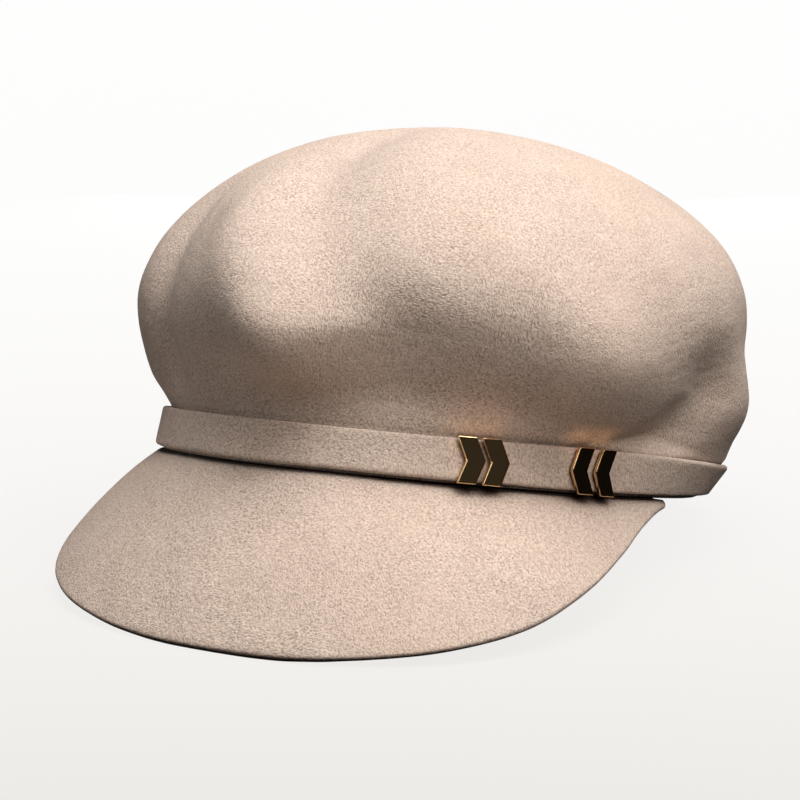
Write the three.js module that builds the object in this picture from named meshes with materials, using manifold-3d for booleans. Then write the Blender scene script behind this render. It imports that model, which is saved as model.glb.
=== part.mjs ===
// A baker-boy cap in wool felt, head size 57 cm, resting on a table as it does by itself.
//
// The crown is one soft blocked shell that swells out over the band, with shallow folds pressed into it.
// A stiff felt peak flares down and out from under the front of the crown, and a felt band runs round the
// join. Four polished metal chevrons sit on the band at the wearer's left, in two pairs that point at each
// other. The cap stands on the edge of its peak and on the back of its rim, which tips it backwards.
//
// Millimetres. Each shape is worked out in the cap's own frame: the rim lies in the plane z = 0, +Z runs up
// the crown, the peak points along -Y and the wearer's left is +X. An angle round the cap is counted from
// the front towards the wearer's left. The whole cap is then tipped back and cut level where it rests.

import * as THREE from "three";
import { mergeVertices } from "three/addons/utils/BufferGeometryUtils.js";
import Module from "manifold-3d";

const wasm = await Module();
wasm.setup();

const rad = THREE.MathUtils.degToRad;
const deg = THREE.MathUtils.radToDeg;

// Driving sizes
const FELT = 2.2; // thickness of the crown's and the band's felt
const PEAK_FELT = 2.4; // the peak's felt is stiffened, and a little thicker
const GAP = 0.3; // clearance between two pieces that touch
const PRESSED = 0.45; // how deep the felt is pressed flat where it rests

// Rings of the crown's outer skin, from the rim to the top. Each has its height at the front and at the
// back, how far it reaches from the axis at the front, at each side and at the back, and how much fuller
// its sides are behind the middle than before it.
const CROWN_RINGS = [
  { frontZ: 0.0, backZ: 0.0, front: 103.4, side: 83.5, back: 98.0, fuller: -2.8 }, // rim
  { frontZ: 13.5, backZ: 12.9, front: 100.1, side: 88.4, back: 104.2, fuller: 8.0 }, // band's top
  { frontZ: 20.5, backZ: 17.5, front: 102.6, side: 91.0, back: 107.4, fuller: 4.0 },
  { frontZ: 30.0, backZ: 25.5, front: 108.4, side: 93.8, back: 109.4, fuller: 0.0 },
  { frontZ: 39.8, backZ: 35.0, front: 113.0, side: 95.0, back: 110.2, fuller: -4.0 },
  { frontZ: 49.5, backZ: 45.5, front: 113.6, side: 96.2, back: 110.2, fuller: -4.0 }, // widest
  { frontZ: 59.5, backZ: 56.8, front: 110.2, side: 96.0, back: 108.4, fuller: -0.5 },
  { frontZ: 70.5, backZ: 68.5, front: 101.8, side: 92.4, back: 104.0, fuller: 2.0 },
  { frontZ: 82.0, backZ: 81.2, front: 89.6, side: 83.6, back: 94.0, fuller: 3.6 },
  { frontZ: 93.4, backZ: 92.6, front: 73.2, side: 69.2, back: 77.6, fuller: 3.0 },
  { frontZ: 102.4, backZ: 101.6, front: 54.4, side: 51.8, back: 58.0, fuller: 2.0 },
  { frontZ: 108.2, backZ: 107.6, front: 33.4, side: 32.2, back: 36.6, fuller: 1.0 },
  { frontZ: 111.1, backZ: 110.9, front: 14.2, side: 13.6, back: 15.2, fuller: 0.4 },
  { frontZ: 111.8, backZ: 111.8, front: 0.0, side: 0.0, back: 0.0, fuller: 0.0 }, // top
];

// Folds pressed into the crown: the angle at the foot and at the head of each valley, its depth, its half
// width in degrees, and the rings between which it is deepest. A negative depth is a ridge.
const CROWN_FOLDS = [
  { foot: -37, head: -39, depth: 4.0, width: 8, low: 2.8, high: 6.6 }, // beside the front lobe
  { foot: -4, head: -18, depth: -2.4, width: 8, low: 4.0, high: 7.4 }, // the front lobe's ridge
  { foot: 17, head: -10, depth: 6.2, width: 13, low: 5.2, high: 9.2 }, // between the two lobes
  { foot: 52, head: 34, depth: -2.4, width: 11, low: 4.2, high: 7.4 }, // the side lobe's ridge
  { foot: 74, head: 83, depth: 5.2, width: 9, low: 1.5, high: 3.4 }, // low on the wearer's left
  { foot: 150, head: 144, depth: 3.4, width: 17, low: 3.2, high: 8.6 },
  { foot: -152, head: -146, depth: 3.4, width: 17, low: 3.2, high: 8.6 },
  { foot: -94, head: -88, depth: 3.8, width: 17, low: 3.2, high: 8.4 },
];
const FOLD_FADE = 2.4; // rings over which a fold fades out at its head

// Soft dents in the crown: the angle and the ring of the middle, the depth, the half width in degrees, the
// half height in rings, and how many degrees it slants for each ring. A negative depth is a swelling.
const CROWN_DENTS = [
  { angle: 2, ring: 3.3, depth: -7.4, width: 9, height: 1.3, slant: -1.0 }, // the front lobe's lip
  { angle: 53, ring: 3.7, depth: -5.4, width: 12, height: 1.6, slant: -1.0 }, // the side lobe's lip
  { angle: 103, ring: 3.7, depth: -3.6, width: 12, height: 1.3, slant: 0.0 }, // the lip behind it
  { angle: -31, ring: 5.0, depth: 4.6, width: 12, height: 2.4, slant: 0.0 }, // the front lobe's flank
  { angle: 31, ring: 2.0, depth: 1.8, width: 16, height: 1.0, slant: 0.0 }, // under the two lips
  { angle: -66, ring: 2.4, depth: -1.4, width: 14, height: 0.9, slant: 0.0 }, // low on the wearer's right
  { angle: 105, ring: 5.6, depth: 2.8, width: 14, height: 1.8, slant: 0.0 }, // the wearer's left
];
const DENT_FADE = 1.5; // rings above the band over which the dents come in

const BAND_TOP = 1; // the ring where the wall under the band ends and each fold begins

// The peak at angles from the front to where it ends: its slant width from the rim to its edge, and how
// steeply it falls, in degrees.
const PEAK_SECTIONS = [
  { angle: 0, width: 57.6, slope: 57.5 },
  { angle: 10, width: 57.6, slope: 56.5 },
  { angle: 20, width: 56.2, slope: 54.0 },
  { angle: 30, width: 52.6, slope: 51.5 },
  { angle: 40, width: 45.4, slope: 49.5 },
  { angle: 50, width: 33.4, slope: 48.5 },
  { angle: 60, width: 20.0, slope: 49.5 },
  { angle: 70, width: 8.4, slope: 53.0 },
  { angle: 80, width: 1.8, slope: 60.0 },
];
const PEAK_BULGE = 1.6; // how far the middle of a full slant stands proud of straight
const PEAK_FULL = 40; // a narrower slant than this bulges in proportion
const PEAK_BEND = 0.2; // how far past the rim the peak starts to fall
const PEAK_FLANGE = { front: 8.5, end: 4.0 }; // height sewn up inside the crown

// The band: a strip of felt laid on the foot of the crown.
const BAND_WIDTH = 12.0;
const BAND_LIFT = { front: 0.9, back: 1.5 }; // its lower edge above the rim

// The chevrons on the band: where each is, and which way it points (1 towards the back).
const CHEVRONS = [
  { name: "chevron_front_outer", angle: 34.4, points: 1 },
  { name: "chevron_front_inner", angle: 38.8, points: 1 },
  { name: "chevron_back_inner", angle: 55.4, points: -1 },
  { name: "chevron_back_outer", angle: 60.2, points: -1 },
];
// A chevron's height, the width of its bar, how far its tip reaches, its thickness, its clearance to the
// curved face of the band, and how far it sits below the band's middle.
const CHEVRON = { height: 13.6, bar: 5.7, reach: 2.7, thick: 1.5, clear: 0.45, drop: 0.6 };

// How finely the pieces are cut into facets
const AROUND = 64;
const RISE_STEPS = 20;
const PEAK_STEPS = 40;
const PEAK_RUN = 6;
const WALL_STEPS = 3;
const TURN_STEPS = 3;
const NUDGE = 1e-3; // step for working out directions on a surface

const FELT_COLOUR = 0xcdb4a0;
const METAL_COLOUR = 0xc59a5f;

const feltMaterial = () =>
  new THREE.MeshStandardMaterial({ color: FELT_COLOUR, roughness: 0.95, metalness: 0 });
const metalMaterial = () =>
  new THREE.MeshStandardMaterial({ color: METAL_COLOUR, roughness: 0.15, metalness: 1 });

// Value at t of a smooth curve through values at 0, 1, 2 ...
function through(values, t) {
  const last = values.length - 1;
  const i = Math.min(Math.floor(t), last - 1);
  const k = t - i;
  const a = values[Math.max(i - 1, 0)];
  const b = values[i];
  const c = values[i + 1];
  const d = values[Math.min(i + 2, last)];
  return (
    b + 0.5 * k * (c - a + k * (2 * a - 5 * b + 4 * c - d + k * (3 * (b - c) + d - a)))
  );
}

const smooth = (lo, hi, v) => THREE.MathUtils.smoothstep(v, lo, hi);
const mix = THREE.MathUtils.lerp;

const ringColumn = Object.fromEntries(
  Object.keys(CROWN_RINGS[0]).map((key) => [key, CROWN_RINGS.map((ring) => ring[key])]),
);

// The wall under the band is straight; above it the rings are joined by a smooth curve.
function ringValue(key, ring) {
  const column = ringColumn[key];
  if (ring <= BAND_TOP) return mix(column[0], column[BAND_TOP], ring);
  return through(column.slice(BAND_TOP), ring - BAND_TOP);
}

// A point on the crown's outer skin before it is folded.
function plainSkin(ring, angle) {
  const c = Math.cos(angle);
  const share = (1 + c) / 2; // 1 at the front, 0 at the back
  const z = mix(ringValue("backZ", ring), ringValue("frontZ", ring), share);
  const along = mix(ringValue("back", ring), ringValue("front", ring), share);
  const across = ringValue("side", ring) - ringValue("fuller", ring) * c;
  return new THREE.Vector3(across * Math.sin(angle), -along * c, z);
}

// The outward direction of a surface given as a function of ring and angle.
function outward(surface, ring, angle) {
  const r = Math.min(ring, CROWN_RINGS.length - 1 - 2 * NUDGE);
  const up = surface(r + NUDGE, angle).sub(surface(Math.max(r - NUDGE, 0), angle));
  const round = surface(r, angle + NUDGE).sub(surface(r, angle - NUDGE));
  return round.cross(up).normalize();
}

// How many degrees an angle lies past a middle, the short way round.
function degreesPast(middle, angle) {
  const away = deg(angle) - middle;
  return away - 360 * Math.round(away / 360);
}

// How deep the folds and dents press the skin in.
function pressedIn(ring, angle) {
  let depth = 0;
  for (const fold of CROWN_FOLDS) {
    const share = THREE.MathUtils.clamp((ring - fold.low) / (fold.high - fold.low), 0, 1);
    const away = degreesPast(mix(fold.foot, fold.head, share), angle);
    const foot = smooth(BAND_TOP, fold.low, ring);
    const head = 1 - smooth(fold.high, fold.high + FOLD_FADE, ring);
    depth += fold.depth * Math.exp(-((away / fold.width) ** 2)) * foot * head;
  }
  for (const dent of CROWN_DENTS) {
    const rise = ring - dent.ring;
    const away = degreesPast(dent.angle + dent.slant * rise, angle);
    const foot = smooth(BAND_TOP, BAND_TOP + DENT_FADE, ring);
    depth += dent.depth * Math.exp(-((away / dent.width) ** 2) - (rise / dent.height) ** 2) * foot;
  }
  return depth;
}

function crownSkin(ring, angle) {
  const depth = pressedIn(ring, angle);
  const point = plainSkin(ring, angle);
  return ring > BAND_TOP ? point.addScaledVector(outward(plainSkin, ring, angle), -depth) : point;
}

// A closed mesh from points and triangles.
function closedGeometry(points, triangles) {
  const geometry = new THREE.BufferGeometry();
  const flat = points.flatMap((p) => [p.x, p.y, p.z]);
  geometry.setAttribute("position", new THREE.Float32BufferAttribute(flat, 3));
  geometry.setIndex(triangles);
  return geometry;
}

// Two triangles for each cell of a grid of rows of points, each row a closed ring.
function gridTriangles(rows, columns, first = 0) {
  const triangles = [];
  for (let i = 0; i < rows - 1; i++) {
    for (let j = 0; j < columns; j++) {
      const a = first + i * columns + j;
      const b = first + i * columns + ((j + 1) % columns);
      triangles.push(a, b, b + columns, a, b + columns, a + columns);
    }
  }
  return triangles;
}

const flipped = (triangles) => {
  const turned = [];
  for (let i = 0; i < triangles.length; i += 3) {
    turned.push(triangles[i], triangles[i + 2], triangles[i + 1]);
  }
  return turned;
};

// A length of felt that runs round the cap: one closed outline of points at each angle.
// A run that isn't wrapped into a ring is closed at each end by a strip between the outline's two sides.
function sweptGeometry(outlines, wrap) {
  const count = outlines[0].length;
  const points = outlines.flat();
  const rows = outlines.length;
  const triangles = [];
  const spans = wrap ? rows : rows - 1;
  for (let i = 0; i < spans; i++) {
    const next = (i + 1) % rows;
    for (let j = 0; j < count; j++) {
      const k = (j + 1) % count;
      const a = i * count + j;
      const b = i * count + k;
      const c = next * count + k;
      const d = next * count + j;
      triangles.push(a, d, c, a, c, b);
    }
  }
  if (!wrap) {
    const half = count / 2;
    for (const [row, turn] of [
      [0, false],
      [rows - 1, true],
    ]) {
      for (let j = 0; j < half - 1; j++) {
        const a = row * count + j;
        const b = row * count + j + 1;
        const c = row * count + count - 2 - j;
        const d = row * count + count - 1 - j;
        const cap = [a, b, c, a, c, d];
        triangles.push(...(turn ? flipped(cap) : cap));
      }
    }
  }
  return closedGeometry(points, triangles);
}

// Crown: an outer skin, an inner skin one felt thickness inside it, and a level cut edge at the rim.
function crownGeometry() {
  const top = CROWN_RINGS.length - 1;
  const rings = [];
  for (let i = 0; i < WALL_STEPS; i++) rings.push(mix(0, BAND_TOP, i / WALL_STEPS));
  for (let i = 0; i < RISE_STEPS; i++) rings.push(mix(BAND_TOP, top, i / RISE_STEPS));
  const outer = [];
  const inner = [];
  for (const ring of rings) {
    for (let j = 0; j < AROUND; j++) {
      const angle = (2 * Math.PI * j) / AROUND;
      const skin = crownSkin(ring, angle);
      const inside = skin.clone().addScaledVector(outward(crownSkin, ring, angle), -FELT);
      if (ring < BAND_TOP) {
        // slide along the wall back to the height of the skin
        const wall = crownSkin(BAND_TOP, angle).sub(crownSkin(0, angle));
        inside.addScaledVector(wall, (skin.z - inside.z) / wall.z);
      }
      outer.push(skin);
      inner.push(inside);
    }
  }
  const count = outer.length;
  const lastRow = count - AROUND;
  const apex = new THREE.Vector3(0, 0, ringColumn.frontZ[top]);
  const apexInside = new THREE.Vector3(0, 0, apex.z - FELT);
  const points = [...outer, ...inner, apex, apexInside];
  const skin = gridTriangles(rings.length, AROUND);
  const lining = flipped(gridTriangles(rings.length, AROUND, count));
  const rest = [];
  for (let j = 0; j < AROUND; j++) {
    const k = (j + 1) % AROUND;
    rest.push(lastRow + j, lastRow + k, 2 * count);
    rest.push(count + lastRow + k, count + lastRow + j, 2 * count + 1);
    rest.push(k, j, count + j, k, count + j, count + k);
  }
  return closedGeometry(points, [...skin, ...lining, ...rest]);
}

// At an angle round the rim: the rim point, the level outward direction and the lean of the wall there.
function rimAt(angle) {
  const foot = crownSkin(0, angle);
  const wall = crownSkin(BAND_TOP, angle).sub(foot);
  const normal = outward(plainSkin, 0, angle);
  const out = new THREE.Vector3(normal.x, normal.y, 0).normalize();
  const lean = Math.atan2(wall.dot(out), wall.z);
  return { foot, out, lean };
}

// A point given by its distance out from the rim and its height.
const atRim = (rim, away, height) =>
  rim.foot
    .clone()
    .addScaledVector(rim.out, away)
    .add(new THREE.Vector3(0, 0, height));

// How far up the leaning wall the band's lower edge lies at an angle, on a face that is a depth out from it.
function bandFoot(angle, lean, depth) {
  const lift = mix(BAND_LIFT.back, BAND_LIFT.front, (1 + Math.cos(angle)) / 2);
  return (lift + depth * Math.sin(lean)) / Math.cos(lean);
}

// Band: a strip that lies on the wall at the foot of the crown and leans with it.
function bandGeometry() {
  const outlines = [];
  for (let i = 0; i < AROUND; i++) {
    const angle = (2 * Math.PI * i) / AROUND;
    const rim = rimAt(angle);
    const up = [Math.sin(rim.lean), Math.cos(rim.lean)];
    const off = [Math.cos(rim.lean), -Math.sin(rim.lean)];
    const place = (along, depth) =>
      atRim(rim, along * up[0] + depth * off[0], along * up[1] + depth * off[1]);
    // the lower edge is cut level, and the upper edge square to the felt
    const foot = (depth) => bandFoot(angle, rim.lean, depth);
    const head = foot(0) + BAND_WIDTH;
    const outer = [];
    const inner = [];
    for (let k = 0; k <= WALL_STEPS; k++) {
      outer.push(place(mix(foot(GAP + FELT), head, k / WALL_STEPS), GAP + FELT));
      inner.push(place(mix(foot(GAP), head, k / WALL_STEPS), GAP));
    }
    outlines.push([...outer, ...inner.reverse()]);
  }
  return sweptGeometry(outlines, true);
}

const peakEnd = rad(PEAK_SECTIONS[PEAK_SECTIONS.length - 1].angle);

// A value of the peak's sections at an angle either side of the front.
function peakValue(key, angle) {
  const [front, next] = PEAK_SECTIONS;
  const mirrored = [next[key], ...PEAK_SECTIONS.map((section) => section[key])];
  return through(mirrored, 1 + Math.abs(deg(angle)) / (next.angle - front.angle));
}

// The middle line of the peak's felt at an angle: up inside the crown, under the rim, and down the flare.
// Each point is a distance out from the rim and a height.
function peakLine(angle, rim) {
  const slope = rad(peakValue("slope", angle));
  const width = peakValue("width", angle);
  const flange = mix(PEAK_FLANGE.front, PEAK_FLANGE.end, Math.abs(angle) / peakEnd);
  const clear = GAP + PEAK_FELT / 2;
  // round the inner corner of the crown's rim, from the flange's side to the underside
  const corner = -FELT / Math.cos(rim.lean);
  const turn = [];
  for (let k = 0; k <= TURN_STEPS; k++) {
    const a = mix(Math.PI - rim.lean, 1.5 * Math.PI, k / TURN_STEPS);
    turn.push([corner + clear * Math.cos(a), clear * Math.sin(a)]);
  }
  const head = [
    turn[0][0] + flange * Math.sin(rim.lean),
    turn[0][1] + flange * Math.cos(rim.lean),
  ];
  const start = [PEAK_BEND, -clear];
  const line = [head, ...turn, start];
  const run = [Math.cos(slope), -Math.sin(slope)];
  for (let i = 1; i <= PEAK_RUN; i++) {
    const u = i / PEAK_RUN;
    const proud = PEAK_BULGE * Math.min(1, width / PEAK_FULL) * 4 * u * (1 - u);
    const along = width * u;
    line.push([
      start[0] + along * run[0] - proud * run[1],
      start[1] + along * run[1] + proud * run[0],
    ]);
  }
  return line;
}

// Both faces of a felt of the given thickness about a middle line, as one outline.
function thickened(line, thickness) {
  const upper = [];
  const lower = [];
  line.forEach((p, i) => {
    const before = line[Math.max(i - 1, 0)];
    const after = line[Math.min(i + 1, line.length - 1)];
    const tangents = [
      [p[0] - before[0], p[1] - before[1]],
      [after[0] - p[0], after[1] - p[1]],
    ].filter((t) => Math.hypot(...t) > 1e-9);
    const units = tangents.map((t) => [t[0] / Math.hypot(...t), t[1] / Math.hypot(...t)]);
    let across = [0, 0];
    for (const t of units) across = [across[0] - t[1], across[1] + t[0]];
    const size = Math.hypot(...across);
    const miter = units.length / size; // keeps the thickness at a bend
    const step = [(across[0] / size) * miter, (across[1] / size) * miter];
    upper.push([p[0] + (step[0] * thickness) / 2, p[1] + (step[1] * thickness) / 2]);
    lower.push([p[0] - (step[0] * thickness) / 2, p[1] - (step[1] * thickness) / 2]);
  });
  return [...lower, ...upper.reverse()];
}

// The outline of the peak's felt at an angle.
function peakOutline(angle) {
  const rim = rimAt(angle);
  const outline = thickened(peakLine(angle, rim), PEAK_FELT);
  return outline.map(([away, height]) => atRim(rim, away, height));
}

function peakGeometry() {
  const outlines = [];
  for (let i = 0; i <= PEAK_STEPS; i++) {
    outlines.push(peakOutline(mix(-peakEnd, peakEnd, i / PEAK_STEPS)));
  }
  return sweptGeometry(outlines, false);
}

// A chevron's outline, pointing along +X, about its own middle.
function chevronShape() {
  const { height, bar, reach } = CHEVRON;
  const h = height / 2;
  const left = -(bar + reach) / 2;
  const shape = new THREE.Shape();
  shape.moveTo(left, -h);
  shape.lineTo(left + bar, -h);
  shape.lineTo(left + bar + reach, 0);
  shape.lineTo(left + bar, h);
  shape.lineTo(left, h);
  shape.lineTo(left + reach, 0);
  shape.closePath();
  return shape;
}

// A chevron lies on the face of the band, square to it.
function chevronMesh({ name, angle, points }) {
  const geometry = new THREE.ExtrudeGeometry(chevronShape(), {
    depth: CHEVRON.thick,
    bevelEnabled: false,
  });
  const mesh = new THREE.Mesh(geometry, metalMaterial());
  mesh.name = name;
  const rim = rimAt(rad(angle));
  const up = new THREE.Vector3(0, 0, Math.cos(rim.lean)).addScaledVector(
    rim.out,
    Math.sin(rim.lean),
  );
  const face = rim.out
    .clone()
    .multiplyScalar(Math.cos(rim.lean))
    .add(new THREE.Vector3(0, 0, -Math.sin(rim.lean)));
  const along = up.clone().cross(face);
  const middle = bandFoot(rad(angle), rim.lean, 0) + BAND_WIDTH / 2 - CHEVRON.drop;
  const stand = GAP + FELT + CHEVRON.clear;
  mesh.position
    .copy(rim.foot)
    .addScaledVector(up, middle)
    .addScaledVector(face, stand);
  const basis = new THREE.Matrix4().makeBasis(along, up, face);
  mesh.quaternion.setFromRotationMatrix(basis);
  if (points < 0) mesh.rotateZ(Math.PI);
  return mesh;
}

function feltMesh(name, geometry) {
  const mesh = new THREE.Mesh(geometry, feltMaterial());
  mesh.name = name;
  return mesh;
}

// The geometry as a manifold solid, in the frame of a matrix.
function solidOf(geometry, matrix) {
  const bare = geometry.clone().applyMatrix4(matrix);
  bare.deleteAttribute("normal");
  bare.deleteAttribute("uv");
  const merged = mergeVertices(bare);
  return new wasm.Manifold(
    new wasm.Mesh({
      numProp: 3,
      vertProperties: merged.attributes.position.array,
      triVerts: new Uint32Array(merged.index.array),
    }),
  );
}

function geometryOf(solid) {
  const mesh = solid.getMesh();
  const geometry = new THREE.BufferGeometry();
  geometry.setAttribute("position", new THREE.BufferAttribute(mesh.vertProperties, 3));
  geometry.setIndex(new THREE.BufferAttribute(mesh.triVerts, 1));
  return geometry;
}

// How far the cap tips back until the toe of its peak and the back of its rim are level.
function restingTilt() {
  const heel = crownSkin(0, Math.PI);
  const tilts = peakOutline(0).map((toe) => Math.atan2(heel.z - toe.z, heel.y - toe.y));
  return Math.max(...tilts);
}

// Tip the cap back, centre it over the origin, and press its felt flat where it meets the table.
const cap = new THREE.Group();
cap.rotation.x = -restingTilt();
cap.add(feltMesh("crown", crownGeometry()));
cap.add(feltMesh("peak", peakGeometry()));
cap.add(feltMesh("band", bandGeometry()));
for (const row of CHEVRONS) cap.add(chevronMesh(row));
cap.updateMatrixWorld(true);

const bounds = new THREE.Box3().setFromObject(cap, true);
const centre = bounds.getCenter(new THREE.Vector3());
cap.position.set(-centre.x, -centre.y, -(bounds.min.z + PRESSED));
cap.updateMatrixWorld(true);

const wool_cap = new THREE.Group();
for (const piece of [...cap.children]) {
  let geometry = piece.geometry.clone().applyMatrix4(piece.matrixWorld);
  if (piece.material.metalness === 0) {
    const solid = solidOf(piece.geometry, piece.matrixWorld);
    geometry = geometryOf(solid.trimByPlane([0, 0, 1], 0));
  }
  const mesh = new THREE.Mesh(geometry, piece.material);
  mesh.name = piece.name;
  wool_cap.add(mesh);
}

export default wool_cap;
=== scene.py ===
"""The looks of a baker-boy cap in wool felt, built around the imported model.

Each piece is worked out in millimetres in the cap's own frame: the rim lies in the plane z = 0, +Z runs up
the crown, the peak points along -Y, the wearer's left is +X, and an angle round the cap is counted from the
front towards the wearer's left. The cap then stands on a table as it does by itself, tipped back on the edge
of its peak and the back of its rim, and everything is placed there in metres.
"""

import logging
import math
from dataclasses import dataclass, field
from enum import Enum

import bmesh
import bpy
import numpy as np
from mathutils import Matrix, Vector, noise


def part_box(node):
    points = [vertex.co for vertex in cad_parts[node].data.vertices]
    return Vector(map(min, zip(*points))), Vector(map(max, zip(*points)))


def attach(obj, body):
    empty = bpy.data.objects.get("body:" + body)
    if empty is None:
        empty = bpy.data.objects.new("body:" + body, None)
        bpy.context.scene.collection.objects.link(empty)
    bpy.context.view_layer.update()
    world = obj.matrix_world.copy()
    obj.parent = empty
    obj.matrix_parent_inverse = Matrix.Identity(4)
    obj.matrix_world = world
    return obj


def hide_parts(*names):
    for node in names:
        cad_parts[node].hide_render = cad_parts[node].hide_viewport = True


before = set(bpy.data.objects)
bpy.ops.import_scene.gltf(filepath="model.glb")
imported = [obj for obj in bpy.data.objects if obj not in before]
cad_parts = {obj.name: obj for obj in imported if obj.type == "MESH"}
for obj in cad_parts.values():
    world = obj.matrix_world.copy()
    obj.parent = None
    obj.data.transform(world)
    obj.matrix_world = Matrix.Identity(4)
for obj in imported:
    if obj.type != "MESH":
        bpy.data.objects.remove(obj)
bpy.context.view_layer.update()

log = logging.getLogger("cap")

MM = 0.001
BODY = "root"

FELT = 2.2  # thickness of the crown's and the band's felt, in millimetres
PEAK_FELT = 2.4  # the peak's felt is stiffened, and a little thicker
GAP = 0.3  # clearance between two pieces that touch


class Slot(Enum):
    """The material slots of the part."""

    FELT = "felt"
    METAL = "gilt_metal"


# Shapes


def spline(values: np.ndarray, t: np.ndarray) -> np.ndarray:
    """Reads a smooth curve through values that stand at 0, 1, 2 and so on.

    Args:
        values: the values that the curve passes through.
        t: where to read it.

    Returns:
        The curve's value at each t.
    """
    last = len(values) - 1
    i = np.clip(np.floor(t).astype(int), 0, last - 1)
    k = t - i
    a = values[np.maximum(i - 1, 0)]
    b = values[i]
    c = values[i + 1]
    d = values[np.minimum(i + 2, last)]
    return b + 0.5 * k * (c - a + k * (2 * a - 5 * b + 4 * c - d + k * (3 * (b - c) + d - a)))


def smooth(low: float, high: float, value: np.ndarray) -> np.ndarray:
    """Rises smoothly from 0 at low to 1 at high."""
    t = np.clip((value - low) / (high - low), 0, 1)
    return t * t * (3 - 2 * t)


def mix(a: np.ndarray, b: np.ndarray, share: np.ndarray) -> np.ndarray:
    """Goes in a straight line from a to b as share goes from 0 to 1."""
    return a + (b - a) * share


def unit(vectors: np.ndarray) -> np.ndarray:
    """Scales vectors in the last axis to length 1."""
    return vectors / np.maximum(np.linalg.norm(vectors, axis=-1, keepdims=True), 1e-12)


def half_turn(degrees: np.ndarray) -> np.ndarray:
    """Brings angles between -180 and 180 degrees."""
    return degrees - 360 * np.round(degrees / 360)


@dataclass(frozen=True)
class CrownRing:
    """One ring of the crown's outer skin, in millimetres.

    It has its height at the front and at the back, how far it reaches from the axis at the front, at each
    side and at the back, and how much fuller its sides are behind the middle than before it.
    """

    front_z: float
    back_z: float
    front: float
    side: float
    back: float
    fuller: float


@dataclass(frozen=True)
class Fold:
    """One fold pressed into the crown.

    It has the angle of its valley at the foot and at the head, its depth in millimetres, its half width in
    degrees, and the rings between which it is deepest.
    """

    foot: float
    head: float
    depth: float
    width: float
    low: float
    high: float


@dataclass(frozen=True)
class Dent:
    """One soft dent or swelling in the crown.

    It has its angle, its ring, how deep it is pressed in, in millimetres, its half width in degrees, its half
    height in rings, and how many degrees it slants for each ring.
    """

    angle: float
    ring: float
    depth: float
    width: float
    height: float
    slant: float = 0.0


CROWN_RINGS = (
    CrownRing(0.0, 0.0, 103.4, 83.5, 98.0, -2.8),  # rim
    CrownRing(13.5, 12.9, 100.1, 88.4, 104.2, 8.0),  # the band's top
    CrownRing(20.5, 17.5, 102.6, 91.0, 107.4, 4.0),
    CrownRing(30.0, 25.5, 108.4, 93.8, 109.4, 0.0),
    CrownRing(39.8, 35.0, 113.0, 95.0, 110.2, -4.0),
    CrownRing(49.5, 45.5, 113.6, 96.2, 110.2, -4.0),  # widest
    CrownRing(59.5, 56.8, 110.2, 96.0, 108.4, -0.5),
    CrownRing(70.5, 68.5, 101.8, 92.4, 104.0, 2.0),
    CrownRing(82.0, 81.2, 89.6, 83.6, 94.0, 3.6),
    CrownRing(93.4, 92.6, 73.2, 69.2, 77.6, 3.0),
    CrownRing(102.4, 101.6, 54.4, 51.8, 58.0, 2.0),
    CrownRing(108.2, 107.6, 33.4, 32.2, 36.6, 1.0),
    CrownRing(111.1, 110.9, 14.2, 13.6, 15.2, 0.4),
    CrownRing(111.8, 111.8, 0.0, 0.0, 0.0, 0.0),  # top
)
BAND_TOP = 1  # the ring where the wall under the band ends and each fold begins

CROWN_FOLDS = (
    Fold(-37, -39, 3.6, 5, 2.8, 6.6),  # beside the front lobe
    Fold(-4, -18, -2.4, 8, 4.0, 7.4),  # the front lobe's ridge
    Fold(19, -10, 5.2, 13, 4.0, 9.2),  # between the front lobe and the next
    Fold(52, 34, -2.4, 11, 4.2, 7.4),  # the next lobe's ridge
    Fold(74, 83, 5.2, 9, 1.5, 3.4),  # low on the wearer's left
    Fold(150, 144, 3.4, 17, 3.2, 8.6),
    Fold(-152, -146, 3.4, 17, 3.2, 8.6),
    Fold(-94, -88, 3.8, 17, 3.2, 8.4),
)
FOLD_FADE = 2.4  # rings over which a fold fades out at its head

CROWN_DENTS = (
    Dent(0, 3.6, -6.8, 9, 1.3, -1),  # the front lobe's lip
    Dent(53, 3.7, -5.4, 12, 1.6, -1),  # the next lobe's lip
    Dent(103, 3.7, -3.6, 12, 1.3),  # the lip behind it
    Dent(-31, 5.0, 5.0, 12, 2.4),  # the front lobe's flank
    Dent(31, 2.0, 2.4, 18, 1.0),  # under the two lips
    Dent(-66, 2.4, -1.4, 14, 0.9),  # low on the wearer's right
    Dent(105, 5.6, 2.8, 14, 1.8),  # the wearer's left
)
DENT_FADE = 1.5  # rings above the band over which the dents come in


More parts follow.
